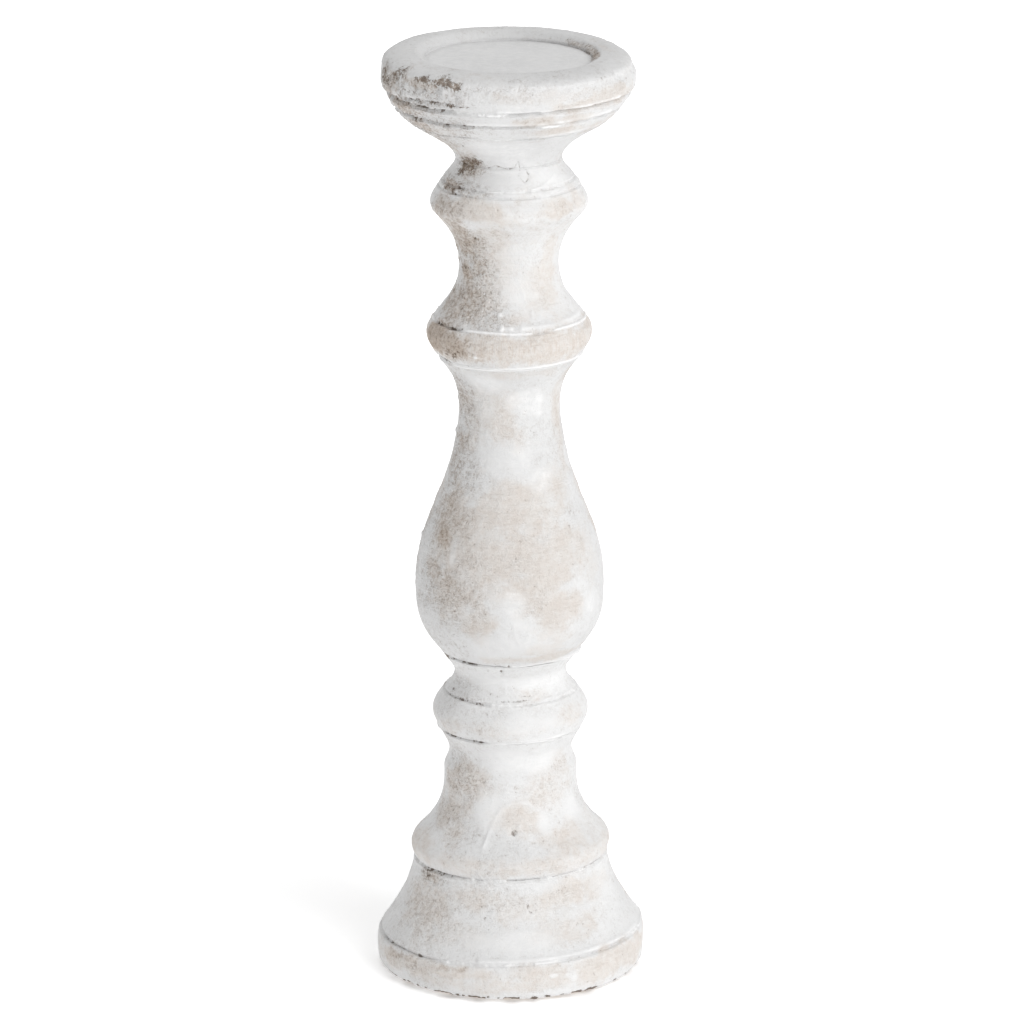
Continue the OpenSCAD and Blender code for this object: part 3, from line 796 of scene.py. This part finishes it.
class Shader:
    """One material, and short calls that add nodes to it. Sizes are in mm."""

    def __init__(self, name):
        self.material = bpy.data.materials.new(name)
        self.material.use_nodes = True
        self.tree = self.material.node_tree
        self.tree.nodes.clear()
        output = self.node("ShaderNodeOutputMaterial")
        self.surface = self.node("ShaderNodeBsdfPrincipled")
        self.tree.links.new(self.surface.outputs[0], output.inputs["Surface"])
        self.place = self.node("ShaderNodeTexCoord").outputs["Object"]

    def node(self, kind, **settings):
        made = self.tree.nodes.new(kind)
        for key, value in settings.items():
            setattr(made, key, value)
        return made

    def feed(self, socket, value):
        """Give an input a number or a colour, or join another node's output to it."""
        if isinstance(value, bpy.types.NodeSocket):
            self.tree.links.new(value, socket)
        else:
            socket.default_value = value

    def set(self, name, value):
        self.feed(self.surface.inputs[name], value)

    def math(self, operation, a, b=0.0):
        made = self.node("ShaderNodeMath", operation=operation)
        self.feed(made.inputs[0], a)
        self.feed(made.inputs[1], b)
        return made.outputs[0]

    def total(self, *terms):
        """The sum of (value, weight) pairs."""
        result = None
        for value, weight in terms:
            term = self.math("MULTIPLY", value, weight)
            result = term if result is None else self.math("ADD", result, term)
        return result

    def mask(self, name):
        return self.node("ShaderNodeAttribute", attribute_name=name).outputs["Fac"]

    def noise(self, size, detail=2.0, rough=0.5, stretch=(1, 1, 1), distortion=0.0):
        """Noise round 0, mostly within 0.5 of it. Its lumps have that size, drawn out by stretch."""
        mapping = self.node("ShaderNodeMapping")
        self.feed(mapping.inputs["Vector"], self.place)
        mapping.inputs["Scale"].default_value = [1 / (size * MM * s) for s in stretch]
        made = self.node("ShaderNodeTexNoise")
        self.feed(made.inputs["Vector"], mapping.outputs[0])
        made.inputs["Scale"].default_value = 1.0
        made.inputs["Detail"].default_value = detail
        made.inputs["Roughness"].default_value = rough
        made.inputs["Distortion"].default_value = distortion
        return self.math("SUBTRACT", made.outputs["Fac"], 0.5)

    def ramp(self, value, low, high):
        made = self.node("ShaderNodeMapRange", interpolation_type="SMOOTHSTEP")
        self.feed(made.inputs["Value"], value)
        made.inputs["From Min"].default_value = low
        made.inputs["From Max"].default_value = high
        return made.outputs[0]

    def mix(self, factor, a, b):
        made = self.node("ShaderNodeMix", data_type="RGBA")
        self.feed(made.inputs["Factor"], factor)
        colours = [socket for socket in made.inputs if socket.type == "RGBA"]
        self.feed(colours[0], a)
        self.feed(colours[1], b)
        return next(socket for socket in made.outputs if socket.type == "RGBA")

    def bump(self, height):
        """The normal of a surface that stands out by height, in mm."""
        made = self.node("ShaderNodeBump")
        self.feed(made.inputs["Height"], height)
        made.inputs["Distance"].default_value = MM
        made.inputs["Strength"].default_value = 1.0
        return made.outputs[0]


def hardwood(s):
    """The colour of unpainted hardwood, with its grain running up."""
    grain = s.noise(1.2, 4, 0.6, stretch=(1, 1, 18), distortion=0.4)
    pores = s.noise(0.45, 2, 0.6, stretch=(1, 1, 12))
    colour = s.mix(s.ramp(grain, -0.2, 0.2), srgb(202, 172, 132), srgb(172, 138, 98))
    return s.mix(s.total((s.ramp(pores, 0.1, 0.25), 0.6)), colour, srgb(124, 92, 62))


def paint_noises(s):
    """The noises that the paint's layers share, from broad clouds down to grit."""
    return SimpleNamespace(
        broad=s.noise(28, 3, 0.55),
        cloud=s.noise(9, 4, 0.6),
        edge=s.noise(3.2, 4, 0.62),
        fine=s.noise(1.5, 3, 0.65, distortion=0.6),
        grit=s.noise(0.8, 2, 0.6),
        brush=s.noise(1.7, 2, 0.6, stretch=(9, 9, 1), distortion=0.6),
        grain=s.noise(0.9, 3, 0.6, stretch=(1, 1, 14), distortion=0.2),
    )


def thick_paint(s, n, shaded_tint):
    """Thick paint, hardly tinted."""
    paint = s.mix(s.ramp(n.broad, -0.2, 0.2), shaded_tint(220, 220, 220), shaded_tint(226, 226, 226))
    dull = s.ramp(s.total((n.cloud, 0.8), (n.edge, 0.6), (n.fine, 0.7)), -0.1, 0.35)
    return s.mix(s.total((dull, 0.5)), paint, shaded_tint(209, 208, 207))


def thin_paint(s, n, shaded_tint, colour, thinned):
    """Thin paint, warmed by the wood under it."""
    clouded = s.ramp(s.total((n.cloud, 1.0), (n.edge, 0.8)), -0.25, 0.3)
    beige = s.mix(clouded, shaded_tint(221, 217, 213), shaded_tint(215, 208, 202))
    worn = s.ramp(s.total((n.brush, 1.0), (n.fine, 0.3)), -0.05, 0.2)
    beige = s.mix(s.total((worn, 0.3)), beige, shaded_tint(200, 193, 186))
    return s.mix(thinned, colour, beige)


def grit_and_painted_relief(s, n, colour, speck, crumbs):
    """Grey-brown grit in the noise's hollows, with white crumbs in it: partly real grit, partly painted shade
    and painted highlights for relief.
    """
    shaded_hollow = s.ramp(s.total((n.fine, 1.0), (n.edge, 0.7), (n.grit, 0.6)), -0.06, 0.24)
    dirt_and_shade = s.math("MULTIPLY", s.total((shaded_hollow, 0.72), (1.0, 0.08)), s.total((speck, 1.0), (1.0, 0.08)))
    colour = s.mix(dirt_and_shade, colour, srgb(158, 148, 140))
    return s.mix(s.total((crumbs, 0.6)), colour, srgb(232, 232, 232))


def brown_stains(s, n, colour):
    """Soft brown stains."""
    stained = s.ramp(s.total((s.mask("stain"), 1.0), (n.cloud, 0.5), (n.edge, 0.7), (n.fine, 0.8)), 0.1, 1.0)
    mottled = s.ramp(s.total((n.fine, 1.0), (n.edge, 0.5)), -0.12, 0.18)
    brown = s.mix(mottled, srgb(190, 178, 167), srgb(156, 141, 127))
    return s.mix(s.total((stained, 0.9)), colour, brown)


def grain_streaks(s, n, colour, grain_here):
    """Streaks of wood along the grain, where a ring's face is rubbed."""
    streak = s.math("MULTIPLY", s.ramp(n.grain, -0.04, 0.16), grain_here)
    return s.mix(s.total((streak, 0.48)), colour, srgb(196, 183, 171))


def bare_flecks(s, n, colour, gone):
    """Bare brown wood in ragged flecks."""
    mottled = s.ramp(s.total((n.fine, 1.0), (n.edge, 0.6)), -0.15, 0.2)
    wood = s.mix(mottled, srgb(152, 137, 122), srgb(98, 84, 72))
    return s.mix(s.total((gone, 0.85)), colour, wood)


def painted_wood(slot, shade_tone):
    """Chalky white paint on turned wood, thin, gritty, rubbed through and cracked as the masks say."""
    # Paint colours darkened by the section's painted shade
    def shaded_tint(*levels):
        return srgb(*(shade_tone * v for v in levels))

    s = Shader(slot)
    n = paint_noises(s)
    bare, thin, speck, grain_here = (s.mask(m) for m in ("bare", "thin", "speck", "grain"))

    # Where each layer shows
    thinning = s.total((thin, 1.0), (n.broad, 0.3), (n.cloud, 0.6), (n.edge, 0.5), (n.fine, 0.3))
    thinned = s.ramp(thinning, 0.0, 1.0)
    # White crumb tops, partly painted highlights
    crumbs = s.math("MULTIPLY", s.ramp(s.noise(1.3, 1, 0.5), 0.12, 0.2), speck)
    smear_and_painted_light = s.ramp(s.total((s.mask("white"), 1.0), (n.cloud, 0.5), (n.edge, 1.1), (n.fine, 0.9)), 0.2, 1.0)
    gone = s.ramp(s.total((bare, 1.0), (n.edge, 1.6), (n.fine, 1.6), (n.grit, 0.8)), 0.42, 0.9)
    opened = s.ramp(s.total((s.mask("crack_and_shade"), 1.0), (n.fine, 1.4), (n.edge, 0.6)), 0.3, 0.95)

    colour = thick_paint(s, n, shaded_tint)
    colour = thin_paint(s, n, shaded_tint, colour, thinned)
    colour = grit_and_painted_relief(s, n, colour, speck, crumbs)
    colour = brown_stains(s, n, colour)
    colour = grain_streaks(s, n, colour, grain_here)
    # White smears, with painted highlights on beads and ridges and painted light on the recess floor
    colour = s.mix(s.total((smear_and_painted_light, 0.85)), colour, srgb(235, 235, 235))
    colour = bare_flecks(s, n, colour, gone)
    # Open cracks, chips and pits in dark brown, with a painted shadow line along open grooves
    colour = s.mix(s.total((opened, 0.85)), colour, srgb(112, 100, 91))
    colour = s.mix(s.mask("raw"), colour, hardwood(s))
    s.set("Base Color", colour)
    s.set("Roughness", s.total((n.fine, 0.3), (thinned, 0.08), (1.0, 0.72)))
    s.set("Specular IOR Level", 0.22)

    # Relief finer than the mesh
    rough = s.total((speck, 1.1), (thin, 0.4), (bare, 0.4), (smear_and_painted_light, -0.2), (1.0, 0.55))
    waves = s.total((n.fine, 0.46), (n.edge, 0.6), (n.grit, 0.14), (n.brush, 0.45))
    relief = s.math("MULTIPLY", waves, rough)
    relief = s.total((relief, -1.0), (smear_and_painted_light, 0.12), (crumbs, 0.2), (gone, -0.14), (opened, -0.2))
    ringed = s.math("MULTIPLY", n.grain, grain_here)
    s.set("Normal", s.bump(s.total((relief, 1.0), (ringed, -0.25))))
    return s.material


def dowel_wood():
    """Unpainted, unpolished hardwood."""
    s = Shader("dowel_wood")
    s.set("Base Color", hardwood(s))
    s.set("Roughness", s.total((s.noise(2, 3), 0.3), (1.0, 0.6)))
    s.set("Normal", s.bump(s.total((s.noise(1.2, 4, 0.6, stretch=(1, 1, 18)), 0.15))))
    return s.material


def pressed_felt():
    """Dark brown felt with a short nap."""
    s = Shader("pad_felt")
    fibres = s.noise(0.5, 4, 0.8, distortion=1.5)
    s.set("Base Color", s.mix(s.ramp(fibres, -0.2, 0.2), srgb(58, 50, 45), srgb(98, 88, 80)))
    s.set("Roughness", s.total((fibres, 0.1), (1.0, 0.92)))
    s.set("Specular IOR Level", 0.1)
    s.set("Normal", s.bump(s.total((fibres, 0.5))))
    return s.material


# ---------------------------------------------------------------- dowels and pads

def felt_pad(node, material):
    """A disc of felt with soft edges and a fuzzy face, in the stead of the CAD's plain one."""
    low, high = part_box(node)
    middle = np.array([(low.x + high.x) / 2, (low.y + high.y) / 2, 0]) / MM
    inset, soft = 0.15, 0.4
    radius, thick = (high.x - low.x) / 2 / MM - inset, (high.z - low.z) / MM
    under = flat(0, radius - soft, 0)
    lower = quarter(radius - soft, soft, soft, soft, -90)
    upper = quarter(radius - soft, thick - soft, soft, soft, 0)
    over = flat(radius - soft, 0, thick, 3 * STEP)
    radii = np.concatenate([[0], under[0], lower[0], upper[0], over[0], [0]])
    heights = np.concatenate([[0], under[1], lower[1], upper[1], over[1], [thick]])
    across = 72
    theta = np.tile(np.linspace(0, 2 * math.pi, across, endpoint=False), len(radii))
    r, z = np.repeat(radii, across), np.repeat(heights, across)
    co = np.stack([r * np.sin(theta), -r * np.cos(theta), z], axis=1) + middle
    fuzz = fractal(co, 1.6, 601, 2) * ramp(r, radius - 2 * soft, radius)
    co[:, 0] += 0.12 * fuzz * np.sin(theta)
    co[:, 1] -= 0.12 * fuzz * np.cos(theta)
    co[:, 2] += 0.06 * (1 + np.clip(fractal(co, 1.2, 607, 2), -1, 1)) * (z < thick / 2)
    mesh, _ = grid_mesh("felt_" + node, co, radii, across)
    mesh.materials.append(material)
    return place(mesh, node)


def dowel(node, material):
    """The CAD's own dowel, in its wood."""
    obj = frame["nodes"][node]
    obj.data.materials.clear()
    obj.data.materials.append(material)


# ---------------------------------------------------------------- stage, light and camera

TOP = cad_box[1][2]
PITCH = math.radians(16.5)
ROLL = math.radians(0.14)
DISTANCE = 3.313
AIM = (0.0012, 0.0, 0.2419)
LENS = 228.5
SENSOR = 36.0

# In metres
FLOOR_SIZE = 24.0
BACKDROP_RADIUS = 11.5
BACKDROP_HEIGHT = 1.0
# How strongly the floor glows by the object, and how much more far from it
GLOW_NEAR = 0.36
GLOW_MORE = 0.25


def floor():
    """A white paper floor that glows a little as painted light, and more far from the object."""
    bpy.ops.mesh.primitive_plane_add(size=FLOOR_SIZE)
    plane = bpy.context.object
    plane.name = "floor"
    s = Shader("floor")
    away = s.node("ShaderNodeVectorMath", operation="LENGTH")
    s.feed(away.inputs[0], s.place)
    s.set("Base Color", s.mix(s.ramp(s.noise(300, 2), -0.3, 0.3), srgb(246, 246, 246), srgb(249, 249, 249)))
    s.set("Roughness", 0.9)
    s.set("Specular IOR Level", 0.1)
    s.set("Emission Color", (1, 1, 1, 1))
    glow = s.ramp(away.outputs["Value"], 0.1, 1.6)
    s.set("Emission Strength", s.total((glow, GLOW_MORE), (1.0, GLOW_NEAR)))
    plane.data.materials.append(s.material)


def backdrop():
    """A low glowing wall round the floor, so that views from low down have no horizon."""
    bpy.ops.mesh.primitive_cylinder_add(
        vertices=96, radius=BACKDROP_RADIUS, depth=BACKDROP_HEIGHT, end_fill_type="NOTHING",
        location=(0, 0, BACKDROP_HEIGHT / 2),
    )
    wall = bpy.context.object
    wall.name = "backdrop"
    s = Shader("backdrop")
    s.set("Base Color", (0, 0, 0, 1))
    s.set("Emission Color", (1, 1, 1, 1))
    s.set("Emission Strength", 1.0)
    wall.data.materials.append(s.material)


def area_light(name, azimuth, elevation, distance, size, power):
    """A square soft light that faces the middle of the object."""
    data = bpy.data.lights.new(name, "AREA")
    data.shape = "SQUARE"
    data.size = size
    data.energy = power
    light = bpy.data.objects.new(name, data)
    bpy.context.scene.collection.objects.link(light)
    turn, rise = math.radians(azimuth), math.radians(elevation)
    light.location = (
        distance * math.cos(rise) * math.sin(turn),
        -distance * math.cos(rise) * math.cos(turn),
        distance * math.sin(rise) + TOP / 2,
    )
    light.rotation_euler = (math.pi / 2 - rise, 0, turn)


def surroundings(strength):
    """Even white light from all round."""
    world = bpy.data.worlds.new("studio")
    bpy.context.scene.world = world
    world.use_nodes = True
    background = world.node_tree.nodes["Background"]
    background.inputs["Color"].default_value = (1, 1, 1, 1)
    background.inputs["Strength"].default_value = strength


def camera():
    """The photograph's camera: far off, a little above, and turned by a fraction of a degree."""
    data = bpy.data.cameras.new("camera")
    data.lens = LENS
    data.sensor_width = SENSOR
    data.clip_end = 100
    data.dof.use_dof = False
    made = bpy.data.objects.new("camera", data)
    bpy.context.scene.collection.objects.link(made)
    made.location = (AIM[0], -DISTANCE * math.cos(PITCH), AIM[2] + DISTANCE * math.sin(PITCH))
    aim = Matrix.Rotation(math.pi / 2 - PITCH, 3, "X") @ Matrix.Rotation(-ROLL, 3, "Z")
    made.rotation_euler = aim.to_euler()
    bpy.context.scene.camera = made


# ---------------------------------------------------------------- the whole

for section in SECTIONS:
    turned_section(section)
dowels_wood = dowel_wood()
for name in DOWELS:
    dowel(name, dowels_wood)
felt = pressed_felt()
for number in range(1, PADS + 1):
    felt_pad(f"felt_pad_{number}", felt)

floor()
backdrop()
surroundings(strength=0.465)
area_light("key", azimuth=45, elevation=38, distance=8.0, size=4.8, power=380)
area_light("fill", azimuth=195, elevation=35, distance=8.0, size=5.0, power=120)
camera()
bpy.context.scene.view_settings.view_transform = "Standard"
